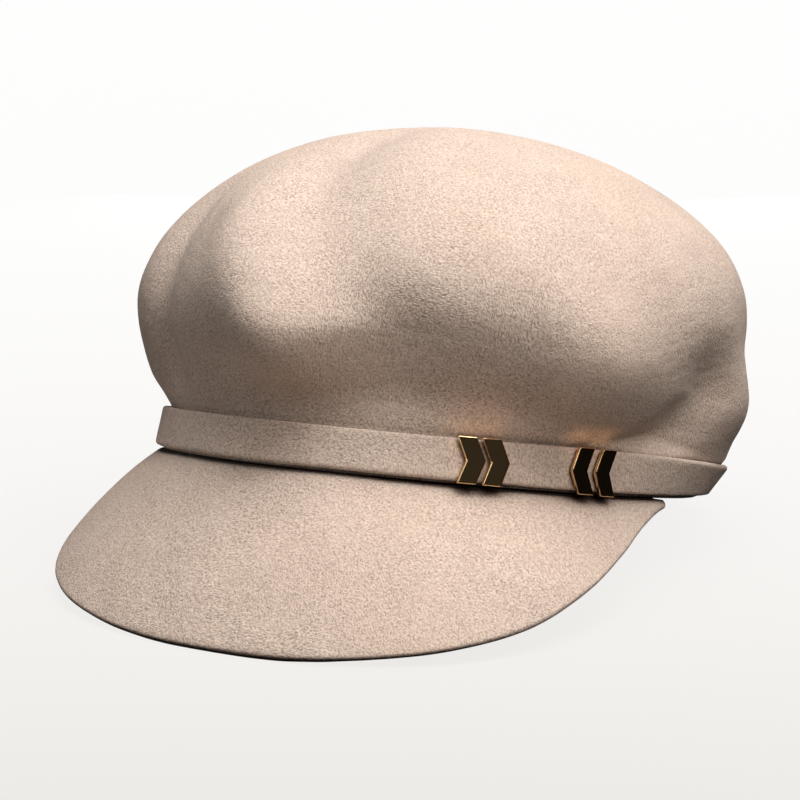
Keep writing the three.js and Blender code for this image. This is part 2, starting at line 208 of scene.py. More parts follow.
@dataclass
class CrownBlock:
    """The shape that the crown's felt was blocked to, as a skin read by ring and angle.

    Attributes:
        rings: the rings of the skin from the rim to the top.
        folds: the folds pressed into it.
        dents: smaller dents and swellings in it.
        nudge: the step for working out directions on it.
    """

    rings: tuple[CrownRing, ...] = CROWN_RINGS
    folds: tuple[Fold, ...] = CROWN_FOLDS
    dents: tuple[Dent, ...] = CROWN_DENTS
    nudge: float = 1e-3

    @property
    def top(self) -> int:
        """The number of the ring at the top."""
        return len(self.rings) - 1

    def value(self, name: str, ring: np.ndarray) -> np.ndarray:
        """Reads one size of the rings: straight under the band, and a smooth curve above it.

        Args:
            name: the size's name.
            ring: where to read it.

        Returns:
            The size at each ring.
        """
        column = np.array([getattr(row, name) for row in self.rings])
        wall = mix(column[0], column[BAND_TOP], ring)
        return np.where(ring <= BAND_TOP, wall, spline(column[BAND_TOP:], ring - BAND_TOP))

    def plain(self, ring: np.ndarray, angle: np.ndarray) -> np.ndarray:
        """Gives points on the skin before it is folded.

        Args:
            ring: the ring of each point.
            angle: its angle, in radians.

        Returns:
            The points, in millimetres.
        """
        c = np.cos(angle)
        share = (1 + c) / 2
        z = mix(self.value("back_z", ring), self.value("front_z", ring), share)
        along = mix(self.value("back", ring), self.value("front", ring), share)
        across = self.value("side", ring) - self.value("fuller", ring) * c
        return np.stack([across * np.sin(angle), -along * c, z], axis=-1)

    def press(self, ring: np.ndarray, angle: np.ndarray) -> np.ndarray:
        """Works out how the folds and dents press the skin in.

        Args:
            ring: the ring of each point.
            angle: its angle, in radians.

        Returns:
            The depth at each point, in millimetres.
        """
        degrees = np.degrees(angle)
        depth = np.zeros_like(degrees)
        for fold in self.folds:
            share = np.clip((ring - fold.low) / (fold.high - fold.low), 0, 1)
            away = half_turn(degrees - mix(fold.foot, fold.head, share))
            foot = smooth(BAND_TOP, fold.low, ring)
            head = 1 - smooth(fold.high, fold.high + FOLD_FADE, ring)
            depth += fold.depth * np.exp(-((away / fold.width) ** 2)) * foot * head
        for dent in self.dents:
            rise = ring - dent.ring
            away = half_turn(degrees - dent.angle - dent.slant * rise)
            foot = smooth(BAND_TOP, BAND_TOP + DENT_FADE, ring)
            depth += dent.depth * np.exp(-((away / dent.width) ** 2) - (rise / dent.height) ** 2) * foot
        return depth

    def normal(self, ring: np.ndarray, angle: np.ndarray, folded: bool = True) -> np.ndarray:
        """Works out which way the skin faces.

        Args:
            ring: the ring of each point.
            angle: its angle, in radians.
            folded: whether the folds and dents count.

        Returns:
            The outward direction at each point.
        """
        surface = self.skin if folded else self.plain
        r = np.clip(ring, 0, self.top - 2 * self.nudge)
        up = surface(r + self.nudge, angle) - surface(np.maximum(r - self.nudge, 0), angle)
        across = surface(r, angle + self.nudge) - surface(r, angle - self.nudge)
        return unit(np.cross(across, up))

    def skin(self, ring: np.ndarray, angle: np.ndarray) -> np.ndarray:
        """Gives points on the outer skin.

        Args:
            ring: the ring of each point, from 0 at the rim to the top.
            angle: the angle of each point round the cap, in radians.

        Returns:
            The points, in millimetres in the cap's own frame, with x, y and z in the last axis.
        """
        depth = self.press(ring, angle)
        return self.plain(ring, angle) - depth[..., None] * self.normal(ring, angle, folded=False)

    def rim(self, angle: np.ndarray) -> tuple[np.ndarray, np.ndarray, np.ndarray]:
        """Gives the rim at each angle.

        Args:
            angle: angles round the cap, in radians.

        Returns:
            The rim points, the level outward directions there, and the lean of the wall in radians.
        """
        foot = self.skin(np.zeros_like(angle), angle)
        wall = self.skin(np.full_like(angle, BAND_TOP), angle) - foot
        out = self.normal(np.zeros_like(angle), angle, folded=False)
        out[..., 2] = 0
        out = unit(out)
        return foot, out, np.arctan2((wall * out).sum(-1), wall[..., 2])


def at_rim(
    foot: np.ndarray, out: np.ndarray, away: np.ndarray, height: np.ndarray
) -> np.ndarray:
    """Places points by their distance out from the rim and their height.

    Args:
        foot: the rim points, one for each row.
        out: the level outward directions, one for each row.
        away: distances out from the rim, a row of them for each rim point.
        height: heights above the rim, in the same layout.

    Returns:
        The points, a row of them for each rim point.
    """
    points = foot[:, None, :] + away[..., None] * out[:, None, :]
    points[..., 2] += height
    return points


@dataclass(frozen=True)
class PeakSection:
    """The peak at one angle: its slant width from the rim to its edge, and how steeply it falls."""

    angle: float
    width: float
    slope: float


PEAK_SECTIONS = (
    PeakSection(0, 57.6, 57.5),
    PeakSection(10, 57.6, 56.5),
    PeakSection(20, 56.2, 54.0),
    PeakSection(30, 52.6, 51.5),
    PeakSection(40, 45.4, 49.5),
    PeakSection(50, 33.4, 48.5),
    PeakSection(60, 20.0, 49.5),
    PeakSection(70, 8.4, 53.0),
    PeakSection(80, 1.8, 60.0),
)


@dataclass
class PeakPattern:
    """How the peak is cut and bent.

    Attributes:
        sections: its width and slope at angles from the front to past where it ends.
        end_angle: the angle where it ends, in degrees.
        bulge: how far the middle of a full slant stands proud of straight.
        full: a narrower slant than this bulges in proportion.
        bend: how far past the rim the peak starts to fall.
        flange_front: height sewn up inside the crown at the front.
        flange_end: the same where the peak ends.
    """

    sections: tuple[PeakSection, ...] = PEAK_SECTIONS
    end_angle: float = 80.0
    bulge: float = 1.6
    full: float = 40.0
    bend: float = 0.2
    flange_front: float = 8.5
    flange_end: float = 4.0

    @property
    def end(self) -> float:
        """The angle where the peak ends, in radians."""
        return math.radians(self.end_angle)

    def value(self, name: str, angle: np.ndarray) -> np.ndarray:
        """Reads the width or the slope.

        Args:
            name: which of the two.
            angle: angles either side of the front, in radians.

        Returns:
            The width or slope at each angle.
        """
        column = [getattr(row, name) for row in self.sections]
        mirrored = np.array([column[1], *column])
        step = self.sections[1].angle - self.sections[0].angle
        return spline(mirrored, 1 + np.abs(np.degrees(angle)) / step)


@dataclass
class Resting:
    """How the cap stands on the table.

    Attributes:
        tilt: how far it is tipped back, in radians.
        shift: what is added after the tilt, in millimetres.
        survey: how many rings and angles of the crown are measured to find its place.
    """

    tilt: float
    shift: np.ndarray
    survey: tuple[int, int] = (160, 361)

    @classmethod
    def find(cls, block: CrownBlock, toe: np.ndarray) -> "Resting":
        """Works out the rest position.

        Args:
            block: the crown's shape.
            toe: the lower corner of the peak's edge at the front, in the cap's own frame.

        Returns:
            The tilt that puts the toe level with the back of the rim, and the shift that puts the crown on
            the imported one.
        """
        heel = block.skin(np.array([0.0]), np.array([math.pi]))[0]
        rest = cls(math.atan2(heel[2] - toe[2], heel[1] - toe[1]), np.zeros(3))
        rings = np.linspace(0, block.top, cls.survey[0])
        angles = np.linspace(-math.pi, math.pi, cls.survey[1])
        points = rest.place(block.skin(*np.meshgrid(rings, angles)), pressed=False).reshape(-1, 3)
        low, high = (np.array(corner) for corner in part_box("crown"))
        middle = (low[0] + high[0]) / 2 - (points[:, 0].min() + points[:, 0].max()) / 2
        rest.shift = np.array([middle, *(high - points.max(axis=0))[1:]]) / MM
        return rest

    def place(self, points: np.ndarray, pressed: bool = True) -> np.ndarray:
        """Moves points from the cap's own frame to the table.

        Args:
            points: points in millimetres, with x, y and z in the last axis.
            pressed: whether felt below the table's top is pressed flat on it.

        Returns:
            The points in metres in the row's frame.
        """
        c, s = math.cos(self.tilt), math.sin(self.tilt)
        x, y, z = points[..., 0], points[..., 1], points[..., 2]
        placed = np.stack([x, c * y + s * z, -s * y + c * z], axis=-1) + self.shift
        if pressed:
            placed[..., 2] = np.maximum(placed[..., 2], 0)
        return placed * MM


# Meshes


def ring_faces(rows: int, columns: int) -> list[tuple[int, ...]]:
    """Makes the quads of a grid of points, each row of which closes on itself.

    Args:
        rows: the number of rows.
        columns: the number of points in a row.

    Returns:
        The quads, as tuples of point numbers.
    """
    faces = []
    for i in range(rows - 1):
        for j in range(columns):
            a = i * columns + j
            b = i * columns + (j + 1) % columns
            faces.append((a, b, b + columns, a + columns))
    return faces


NOISE_START = (31.7, 17.3, 5.1)  # where the noise is read, further along x for each size of unevenness


def ruffle(points: np.ndarray, normals: np.ndarray, bumps: tuple[tuple[float, float], ...]) -> np.ndarray:
    """Gives a skin the small unevenness of felt.

    Args:
        points: points in millimetres.
        normals: the directions to move them in.
        bumps: for each size of unevenness, its width and its height in millimetres.

    Returns:
        The moved points.
    """
    flat = points.reshape(-1, 3)
    rise = np.zeros(len(flat))
    for seed, (width, height) in enumerate(bumps):
        offset = Vector((NOISE_START[0] * seed, *NOISE_START[1:]))
        rise += height * np.array([noise.noise(Vector(p) / width + offset) for p in flat])
    return points + normals * rise.reshape(points.shape[:-1])[..., None]


def add_piece(name: str, points: np.ndarray, faces: list[tuple[int, ...]]) -> bpy.types.Object:
    """Adds a smooth mesh object.

    Args:
        name: the piece's name.
        points: its points, in metres in the row's frame.
        faces: its faces, as tuples of point numbers.

    Returns:
        The object, in the scene.
    """
    mesh = bpy.data.meshes.new(name)
    mesh.from_pydata(points.reshape(-1, 3).tolist(), [], faces)
    mesh.validate()
    mesh.shade_smooth()
    piece = bpy.data.objects.new(name, mesh)
    bpy.context.scene.collection.objects.link(piece)
    return piece


def dress(piece: bpy.types.Object, material: bpy.types.Material, slot: Slot, *nodes: str) -> None:
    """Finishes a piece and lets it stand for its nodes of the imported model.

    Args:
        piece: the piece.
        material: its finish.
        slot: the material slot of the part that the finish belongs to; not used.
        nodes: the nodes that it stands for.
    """
    piece.data.materials.append(material)
    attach(piece, BODY)
    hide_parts(*nodes)
    log.info("%s: %d faces, %s", piece.name, len(piece.data.polygons), material.name)


@dataclass
class Crown:
    """The crown: one shell of felt, with a soft cut edge at the rim.

    Attributes:
        block: the shape that it was blocked to.
        around: points round the cap.
        wall: rows of points up the wall under the band.
        rise: rows of points from there to the top.
        edge: rows of points round the cut edge.
        roundness: how far the cut edge bulges, as a share of half the felt.
        bumps: the widths and heights of its unevenness.
    """

    block: CrownBlock
    around: int = 320
    wall: int = 10
    rise: int = 110
    edge: int = 6
    roundness: float = 0.7
    bumps: tuple[tuple[float, float], ...] = ((34.0, 0.34), (7.5, 0.07))

    def build(self, rest: Resting) -> bpy.types.Object:
        """Makes the crown's mesh.

        Args:
            rest: how the cap stands.

        Returns:
            The crown.
        """
        block = self.block
        height = block.rings[BAND_TOP].front_z
        start = self.roundness * FELT / 2 / height
        rows = [*np.linspace(start, BAND_TOP, self.wall, endpoint=False)]
        rows += [*np.linspace(BAND_TOP, block.top, self.rise, endpoint=False)]
        turn = np.linspace(-math.pi, math.pi, self.around, endpoint=False)
        ring, angle = np.meshgrid(rows, turn, indexing="ij")
        skin = block.skin(ring, angle)
        normal = block.normal(ring, angle)
        lining = skin - FELT * normal
        foot = block.skin(np.zeros_like(turn), turn)
        wall = block.skin(np.full_like(turn, BAND_TOP), turn) - foot
        under = ring < BAND_TOP
        slide = (skin[..., 2] - lining[..., 2]) / wall[:, 2]
        lining = np.where(under[..., None], lining + slide[..., None] * wall, lining)
        skin = ruffle(skin, normal, self.bumps)
        middle = (skin[0] + lining[0]) / 2
        down = -unit(wall) * (self.roundness * FELT / 2)
        bow = np.linspace(0, math.pi, self.edge + 2)[1:-1]
        edge = [middle + (lining[0] - middle) * math.cos(a) + down * math.sin(a) for a in bow]
        layers = np.concatenate([lining[::-1], np.array(edge), skin])
        top = np.array([0.0, 0.0, block.rings[-1].front_z])
        tips = np.array([top - (0, 0, FELT), top])
        count = len(layers)
        faces = ring_faces(count, self.around)
        first, last = count * self.around, (count - 1) * self.around
        for j in range(self.around):
            k = (j + 1) % self.around
            faces.append((k, j, first))
            faces.append((last + j, last + k, first + 1))
        points = rest.place(np.concatenate([layers.reshape(-1, 3), tips]))
        return add_piece("crown_felt", points, faces)


@dataclass
class Band:
    """The band: a strip of felt that lies on the foot of the crown and leans with it.

    Attributes:
        block: the crown's shape.
        width: the strip's width, in millimetres.
        lift_front: its lower edge above the rim at the front.
        lift_back: the same at the back.
        around: points round the cap.
        face: points across each face.
        corner: points round each of its four edges.
        rounding: the radius of its outer edges.
        bumps: the widths and heights of its unevenness.
    """

    block: CrownBlock
    width: float = 12.0
    lift_front: float = 0.9
    lift_back: float = 1.5
    around: int = 560
    face: int = 10
    corner: int = 5
    rounding: float = 1.0
    bumps: tuple[tuple[float, float], ...] = ((22.0, 0.16), (5.0, 0.06))

    def foot(self, angle: np.ndarray, lean: np.ndarray, depth: float) -> np.ndarray:
        """Gives how far up the leaning wall the lower edge lies, on a face at a depth out from it."""
        lift = mix(self.lift_back, self.lift_front, (1 + np.cos(angle)) / 2)
        return (lift + depth * np.sin(lean)) / np.cos(lean)

    def section(self) -> np.ndarray:
        """Gives the strip's outline.

        Returns:
            For each point its share of the way up, its height past that, and its depth from the back.
        """
        r = self.rounding
        outline = []
        corners = ((0, r, FELT - r, 180), (1, -r, FELT - r, 90), (1, -r, r, 0), (0, r, r, 270))
        for share, inset, depth, turn in corners:
            for a in np.radians(np.linspace(turn, turn - 90, self.corner)):
                outline.append((share, inset + r * math.cos(a), depth + r * math.sin(a)))
            if turn in (90, 270):
                continue
            sides = np.linspace(share, 1 - share, self.face + 2)[1:-1]
            side_depth = FELT if turn == 180 else 0.0
            outline += [(s, mix(r, -r, s), side_depth) for s in sides]
        return np.array(outline)

    def build(self, rest: Resting) -> bpy.types.Object:
        """Makes the band's mesh.

        Args:
            rest: how the cap stands.

        Returns:
            The band.
        """
        turn = np.linspace(-math.pi, math.pi, self.around, endpoint=False)
        foot, out, lean = self.block.rim(turn)
        share, past, depth = self.section().T
        low = self.foot(turn, lean, GAP + FELT / 2)
        high = self.foot(turn, lean, GAP) + self.width
        along = mix(low[:, None], high[:, None], share[None, :]) + past[None, :]
        depth = np.broadcast_to(GAP + depth, along.shape)
        sine, cosine = np.sin(lean)[:, None], np.cos(lean)[:, None]
        points = at_rim(foot, out, along * sine + depth * cosine, along * cosine - depth * sine)
        ahead = np.roll(points, -1, axis=1) - np.roll(points, 1, axis=1)
        along_band = np.roll(points, -1, axis=0) - np.roll(points, 1, axis=0)
        points = ruffle(points, unit(np.cross(along_band, ahead)), self.bumps)
        rows, columns = points.shape[:2]
        faces = [tuple(v % (rows * columns) for v in face) for face in ring_faces(rows + 1, columns)]
        return add_piece("band_felt", rest.place(points), faces)


@dataclass
class Peak:
    """The peak: a stiff flap of felt that flares down and out from under the front of the crown.

    Attributes:
        block: the crown's shape.
        pattern: how it is cut and bent.
        steps: points along it.
        run: points from the crown to its edge.
        corner: points round the rim's inner corner.
        edge: points round its cut edge.
        bumps: the widths and heights of its unevenness.
    """

    block: CrownBlock
    pattern: PeakPattern = field(default_factory=PeakPattern)
    steps: int = 280
    run: int = 44
    corner: int = 8
    edge: int = 9
    bumps: tuple[tuple[float, float], ...] = ((30.0, 0.3), (6.5, 0.06))

    def line(self, angle: float, lean: float, trim: float) -> np.ndarray:
        """Gives the middle line of the felt: up inside the crown, under the rim, and down the flare.

        Args:
            angle: the angle round the cap, in radians.
            lean: the lean of the crown's wall there, in radians.
            trim: how much is taken off the peak's width.

        Returns:
            Points by their distance out from the rim and their height.
        """
        cut = self.pattern
        slope = math.radians(float(cut.value("slope", np.array(angle))))
        width = float(cut.value("width", np.array(angle)))
        flange = mix(cut.flange_front, cut.flange_end, abs(angle) / cut.end)
        clear = GAP + PEAK_FELT / 2
        inside = -FELT / math.cos(lean)
        bow = np.linspace(math.pi - lean, 1.5 * math.pi, self.corner)
        turn = np.stack([inside + clear * np.cos(bow), clear * np.sin(bow)], axis=-1)
        head = turn[0] + flange * np.array([math.sin(lean), math.cos(lean)])
        share = np.linspace(0, 1, self.run)[1:] * (1 - trim / width)
        proud = cut.bulge * min(1.0, width / cut.full) * 4 * share * (1 - share)
        down = np.array([math.cos(slope), -math.sin(slope)])
        across = np.array([math.sin(slope), math.cos(slope)])
        start = np.array([cut.bend, -clear])
        flare = start + width * share[:, None] * down + proud[:, None] * across
        return np.concatenate([[head], turn, [start], flare])

    def outline(self, angle: float, lean: float) -> np.ndarray:
        """Gives both faces of the felt and its round cut edge.

        Args:
            angle: the angle round the cap, in radians.
            lean: the lean of the crown's wall there, in radians.

        Returns:
            One closed outline, by distance out from the rim and height.
        """
        half = PEAK_FELT / 2
        line = self.line(angle, lean, half)
        back = np.diff(line, axis=0, prepend=line[:1] - (line[1:2] - line[:1]))
        ahead = np.diff(line, axis=0, append=line[-1:] + (line[-1:] - line[-2:-1]))
        along = unit(unit(back) + unit(ahead))
        across = np.stack([-along[:, 1], along[:, 0]], axis=-1)
        upper, lower = line + half * across, line - half * across
        bow = np.linspace(-math.pi / 2, math.pi / 2, self.edge)[1:-1, None]
        tip = line[-1] + half * (np.cos(bow) * along[-1] + np.sin(bow) * across[-1])
        return np.concatenate([lower, tip, upper[::-1]])

    def toe(self) -> np.ndarray:
        """Finds where the peak's edge meets the table.

        Returns:
            The lower corner of its square-cut edge at the front, in the cap's own frame.
        """
        foot, out, lean = self.block.rim(np.array([0.0]))
        line = self.line(0.0, float(lean[0]), 0.0)
        along = unit(line[-1] - line[-2])
        corner = line[-1] + PEAK_FELT / 2 * np.array([along[1], -along[0]])
        return at_rim(foot, out, corner[None, :1], corner[None, 1:])[0, 0]

    def build(self, rest: Resting) -> bpy.types.Object:
        """Makes the peak's mesh.

        Args:
            rest: how the cap stands.

        Returns:
            The peak.
        """
        turn = np.linspace(-self.pattern.end, self.pattern.end, self.steps)
        foot, out, lean = self.block.rim(turn)
        outlines = np.array([self.outline(a, b) for a, b in zip(turn, lean)])
        points = at_rim(foot, out, outlines[..., 0], outlines[..., 1])
        ahead = np.roll(points, -1, axis=1) - np.roll(points, 1, axis=1)
        along_peak = np.gradient(points, axis=0)
        points = ruffle(points, unit(np.cross(ahead, along_peak)), self.bumps)
        rows, columns = points.shape[:2]
        faces = [face[::-1] for face in ring_faces(rows, columns)]
        last = (rows - 1) * columns
        faces.append(tuple(range(columns)))
        faces.append(tuple(range(last + columns - 1, last - 1, -1)))
        return add_piece("peak_felt", rest.place(points), faces)


@dataclass
class Chevron:
    """One polished chevron on the band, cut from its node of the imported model.

    Attributes:
        node: the node's name.
        bevel: the width of its polished bevel, in metres.
        segments: faces across the bevel.
        weld: how near two corners are one, in metres.
        flat: faces that turn by less than this are one, in degrees.
        sharp: edges that turn by more than this are crisp, in degrees.
    """

    node: str
    bevel: float = 0.00048
    segments: int = 4
    weld: float = 1e-6
    flat: float = 1.0
    sharp: float = 40.0

    def build(self) -> bpy.types.Object:
        """Makes the chevron's mesh with its bevelled edges.

        Returns:
            The chevron.
        """
        mesh = bpy.data.meshes.new(self.node + "_polished")
        shape = bmesh.new()
        shape.from_mesh(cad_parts[self.node].data)
        bmesh.ops.remove_doubles(shape, verts=shape.verts, dist=self.weld)
        flat = math.radians(self.flat)
        bmesh.ops.dissolve_limit(shape, angle_limit=flat, verts=shape.verts, edges=shape.edges)
        sizes = {"offset": self.bevel, "segments": self.segments, "profile": 0.5}
        bmesh.ops.bevel(shape, geom=shape.edges[:], affect="EDGES", **sizes)
        shape.to_mesh(mesh)
        shape.free()
        mesh.shade_smooth()
        mesh.set_sharp_from_angle(angle=math.radians(self.sharp))
        piece = bpy.data.objects.new(mesh.name, mesh)
        bpy.context.scene.collection.objects.link(piece)
        weigh = piece.modifiers.new("even_light", "WEIGHTED_NORMAL")
        weigh.keep_sharp = True
        return piece


# Materials

Value = "Wire | float | tuple[float, ...]"


class Wire:
    """An output socket that can be used in expressions, each of which adds its Math nodes."""

    def __init__(self, graph: "Graph", socket: bpy.types.NodeSocket) -> None:
        """Wraps a socket of a graph."""
        self.graph = graph
        self.socket = socket

    def _math(self, operation: str, first: Value, second: Value) -> "Wire":
        """Adds one Math node."""
        return self.graph.add("ShaderNodeMath", {"operation": operation}, {0: first, 1: second})

    def __add__(self, other: Value) -> "Wire":
        """Adds a value."""
        return self._math("ADD", self, other)

    def __radd__(self, other: Value) -> "Wire":
        """Is added to a value."""
        return self._math("ADD", other, self)

    def __sub__(self, other: Value) -> "Wire":
        """Takes a value away."""
        return self._math("SUBTRACT", self, other)

    def __rsub__(self, other: Value) -> "Wire":
        """Is taken from a value."""
        return self._math("SUBTRACT", other, self)

    def __mul__(self, other: Value) -> "Wire":
        """Multiplies by a value."""
        return self._math("MULTIPLY", self, other)

    def __rmul__(self, other: Value) -> "Wire":
        """Multiplies a value."""
        return self._math("MULTIPLY", other, self)

    def __truediv__(self, other: Value) -> "Wire":
        """Divides by a value."""
        return self._math("DIVIDE", self, other)

    def __rtruediv__(self, other: Value) -> "Wire":
        """Divides a value."""
        return self._math("DIVIDE", other, self)


class Graph:
    """The node graph of one material."""

    def __init__(self, name: str) -> None:
        """Starts an empty material.

        Args:
            name: the material's name.
        """
        self.material = bpy.data.materials.new(name)
        self.material.use_nodes = True
        self.tree = self.material.node_tree
        self.tree.nodes.clear()

    def add(
        self,
        kind: str,
        settings: dict[str, object] | None = None,
        sockets: dict[str | int, Value] | None = None,
        output: str | int = 0,
    ) -> Wire:
        """Adds a node.

        Args:
            kind: the node's type.
            settings: its own settings, set first.
            sockets: the values or links of its input sockets, by name or number.
            output: the output socket that is wanted.

        Returns:
            That output socket.
        """
        node = self.tree.nodes.new(kind)
        for key, value in (settings or {}).items():
            setattr(node, key, value)
        for key, value in (sockets or {}).items():
            if isinstance(value, Wire):
                self.tree.links.new(value.socket, node.inputs[key])
            else:
                node.inputs[key].default_value = value
        return Wire(self, node.outputs[output] if node.outputs else None)

    def finish(self, shader: Wire) -> bpy.types.Material:
        """Links the shader to the material's surface."""
        self.add("ShaderNodeOutputMaterial", sockets={"Surface": shader})
        return self.material

    def place(self) -> Wire:
        """Gives the place of a point on the object, in metres."""
        return self.add("ShaderNodeTexCoord", output="Object")

    def laid(self, place: Wire, way: "Streaks") -> Wire:
        """Turns and stretches places, for noise that lies one way."""
        sockets = {"Vector": place, "Rotation": way.turn, "Scale": way.stretch}
        return self.add("ShaderNodeMapping", None, sockets)

    def noise(self, place: Wire, width: float, detail: float = 2.0, rough: float = 0.5) -> Wire:
        """Gives soft noise from 0 to 1 with features of a width in metres."""
        sockets = {"Vector": place, "Scale": 1 / width, "Detail": detail, "Roughness": rough}
        return self.add("ShaderNodeTexNoise", None, sockets, "Fac")

    def blend(self, share: Value, first: Value, second: Value, how: str = "MIX") -> Wire:
        """Mixes two colours."""
        settings = {"data_type": "RGBA", "blend_type": how}
        return self.add("ShaderNodeMix", settings, {0: share, 6: first, 7: second}, 2)

    def rise(self, value: Value, low: float, high: float, kind: str = "SMOOTHSTEP") -> Wire:
        """Rises from 0 to 1 as a value goes from low to high, smoothly unless the kind says otherwise."""
        settings = {"interpolation_type": kind}
        return self.add("ShaderNodeMapRange", settings, {"Value": value, "From Min": low, "From Max": high})


def tone(red: int, green: int, blue: int) -> tuple[float, float, float, float]:
    """Turns a colour as it looks on a screen into a linear one.

    Args:
        red: its red, 0 to 255.
        green: its green.
        blue: its blue.

    Returns:
        The linear red, green and blue, and 1.
    """
    shares = (value / 255 for value in (red, green, blue))
    linear = [share / 12.92 if share <= 0.04045 else ((share + 0.055) / 1.055) ** 2.4 for share in shares]
    return (*linear, 1.0)


@dataclass(frozen=True)
class Streaks:
    """One way that short fibres lie: how the noise that draws them is turned and stretched."""

    turn: tuple[float, float, float]
    stretch: tuple[float, float, float]


@dataclass(frozen=True)
class FeltFinish:
    """Brushed wool felt: matt, finely mottled, with short fibres that lie this way and that, and painted
    shade where felt faces felt.

    Attributes:
        name: the material's name.
        light: the colour of the fibres that catch the light.
        dark: the colour between the fibres.
        warm: the colour that the dye tends to in places.
        shade: the painted shade that the colour is multiplied by deep in a crevice, where felt faces felt.
        grain: the width of the mottling, in metres.
        speckle: the share of the mottling that is specks, where the rest is streaks.
        ways: the two ways that the streaks lie.
        strand: their width, as a share of the grain.
        lie: the width of the patches that lie one way, in metres.
        lie_edge: the noise over which one way turns into the other.
        cloud: the width of the soft clouding, in metres.
        clouding: its share of the mottling.
        contrast: the mottling at which the colour is all dark and all light.
        dye: the width of the warmer places, in metres.
        dye_edge: the noise over which they come in.
        dyeing: how much of the warm colour they take.
        relief: the height of the bumps, in metres.
        strength: how much of that height shows.
        wave: the width of the soft ripples, in metres.
        waves: how they lie.
        ripple: their height, as a share of the relief.
        crevice: how near felt has to face felt for the painted shade to fall on it, in metres.
        closed: how open to the air the felt is where the painted shade is full.
        open: how open to the air it is where the painted shade ends.
    """

    name: str
    light: tuple[float, ...] = tone(242, 223, 208)
    dark: tuple[float, ...] = tone(158, 133, 119)
    warm: tuple[float, ...] = tone(232, 203, 184)
    shade: tuple[float, ...] = tone(84, 66, 56)
    grain: float = 0.0007
    speckle: float = 0.45
    ways: tuple[Streaks, Streaks] = (
        Streaks((0.5, 0.3, 0.6), (1.0, 1.0, 0.5)),
        Streaks((-0.6, 0.2, -0.5), (0.5, 1.0, 1.0)),
    )
    strand: float = 0.6
    lie: float = 0.02
    lie_edge: tuple[float, float] = (0.4, 0.6)
    cloud: float = 0.012
    clouding: float = 0.07
    contrast: tuple[float, float] = (0.26, 0.66)
    dye: float = 0.045
    dye_edge: tuple[float, float] = (0.35, 0.7)
    dyeing: float = 0.2
    relief: float = 0.00055
    strength: float = 0.7
    wave: float = 0.0034
    waves: Streaks = Streaks((0.4, 0.5, 0.8), (1.0, 0.35, 1.0))
    ripple: float = 0.9
    crevice: float = 0.005
    closed: float = 0.1
    open: float = 0.65

    def build(self) -> bpy.types.Material:
        """Makes the material.

        Returns:
            The material.
        """
        graph = Graph(self.name)
        place = graph.place()
        fine = graph.noise(place, self.grain, 2.0, 0.6)
        combed = self._combed(graph, place)
        cloud = graph.noise(place, self.cloud)
        dye = graph.noise(place, self.dye)
        height = fine * self.speckle + combed * (1 - self.speckle)
        share = graph.rise(height * (1 - self.clouding) + cloud * self.clouding, *self.contrast)
        colour = graph.blend(share, self.dark, self.light)
        colour = graph.blend(graph.rise(dye, *self.dye_edge) * self.dyeing, colour, self.warm)
        sockets = {"Distance": self.crevice}
        # Painted shade: the colour is darkened where the ambient occlusion finds little open air, in place of
        # the shade that falls there.
        open_air = graph.add("ShaderNodeAmbientOcclusion", {"samples": 6}, sockets, "AO")
        shaded = 1 - graph.rise(open_air, self.closed, self.open)
        colour = graph.blend(shaded, colour, self.shade, "MULTIPLY")
        rippled = height + graph.noise(graph.laid(place, self.waves), self.wave) * self.ripple
        sockets = {"Strength": self.strength, "Distance": self.relief, "Height": rippled}
        sockets = {
            "Base Color": colour,
            "Roughness": 0.95,
            "Specular IOR Level": 0.15,
            "Sheen Weight": 0.05,
            "Sheen Roughness": 0.45,
            "Normal": graph.add("ShaderNodeBump", None, sockets),
        }
        return graph.finish(graph.add("ShaderNodeBsdfPrincipled", None, sockets))

    def _combed(self, graph: Graph, place: Wire) -> Wire:
        """Draws the streaks, which lie one way or the other in patches.

        Args:
            graph: the material's graph.
            place: the place of a point on the piece.

        Returns:
            Their height, from 0 to 1.
        """
        width = self.grain * self.strand
        first, second = (graph.noise(graph.laid(place, way), width, 1.0) for way in self.ways)
        patch = graph.rise(graph.noise(place, self.lie, 1.0), *self.lie_edge)
        return first * patch + second * (1 - patch)


@dataclass(frozen=True)
class GiltFinish:
    """Mirror-polished pale gold plate with a trace of polishing marks.

    Attributes:
        name: the material's name.
        colour: its colour.
        mark: the width of the marks, in metres.
        polish: its roughness where it is smoothest.
        haze: how much rougher the marks are.
    """

    name: str = "polished_gilt"
    colour: tuple[float, ...] = tone(240, 200, 150)
    mark: float = 0.002
    polish: float = 0.06
    haze: float = 0.06

    def build(self) -> bpy.types.Material:
        """Makes the material.

        Returns:
            The material.
        """
        graph = Graph(self.name)
        marks = graph.noise(graph.place(), self.mark, 3.0, 0.6)
        sockets = {"Base Color": self.colour, "Metallic": 1.0, "Roughness": self.polish + self.haze * marks}
        return graph.finish(graph.add("ShaderNodeBsdfPrincipled", None, sockets))


# The studio


@dataclass(frozen=True)
class Viewpoint:
    """Where the camera stands, in metres and degrees.

    Attributes:
        azimuth: how far round it stands from the front, towards the wearer's left.
        elevation: how far up.
        distance: how far away from the pivot.
        pivot: the point that it was measured from.
        aim: the point that it looks at.
        lens: its focal length, in millimetres.
        film: the width of its film, in millimetres.
    """

    azimuth: float = 25.7
    elevation: float = 13.0
    distance: float = 0.65
    pivot: tuple[float, float, float] = (-0.0013, 0.0125, 0.0205)
    aim: tuple[float, float, float] = (-0.0152, 0.0116, 0.0433)
    lens: float = 88.8
    film: float = 36.0

    def build(self) -> None:
        """Adds the camera."""
        data = bpy.data.cameras.new("camera")
        data.sensor_width = self.film
        data.lens = self.lens
        camera = bpy.data.objects.new("camera", data)
        bpy.context.scene.collection.objects.link(camera)
        camera.location = Vector(self.pivot) + self.distance * direction(self.azimuth, self.elevation)
        look_at(camera, Vector(self.aim))
        bpy.context.scene.camera = camera


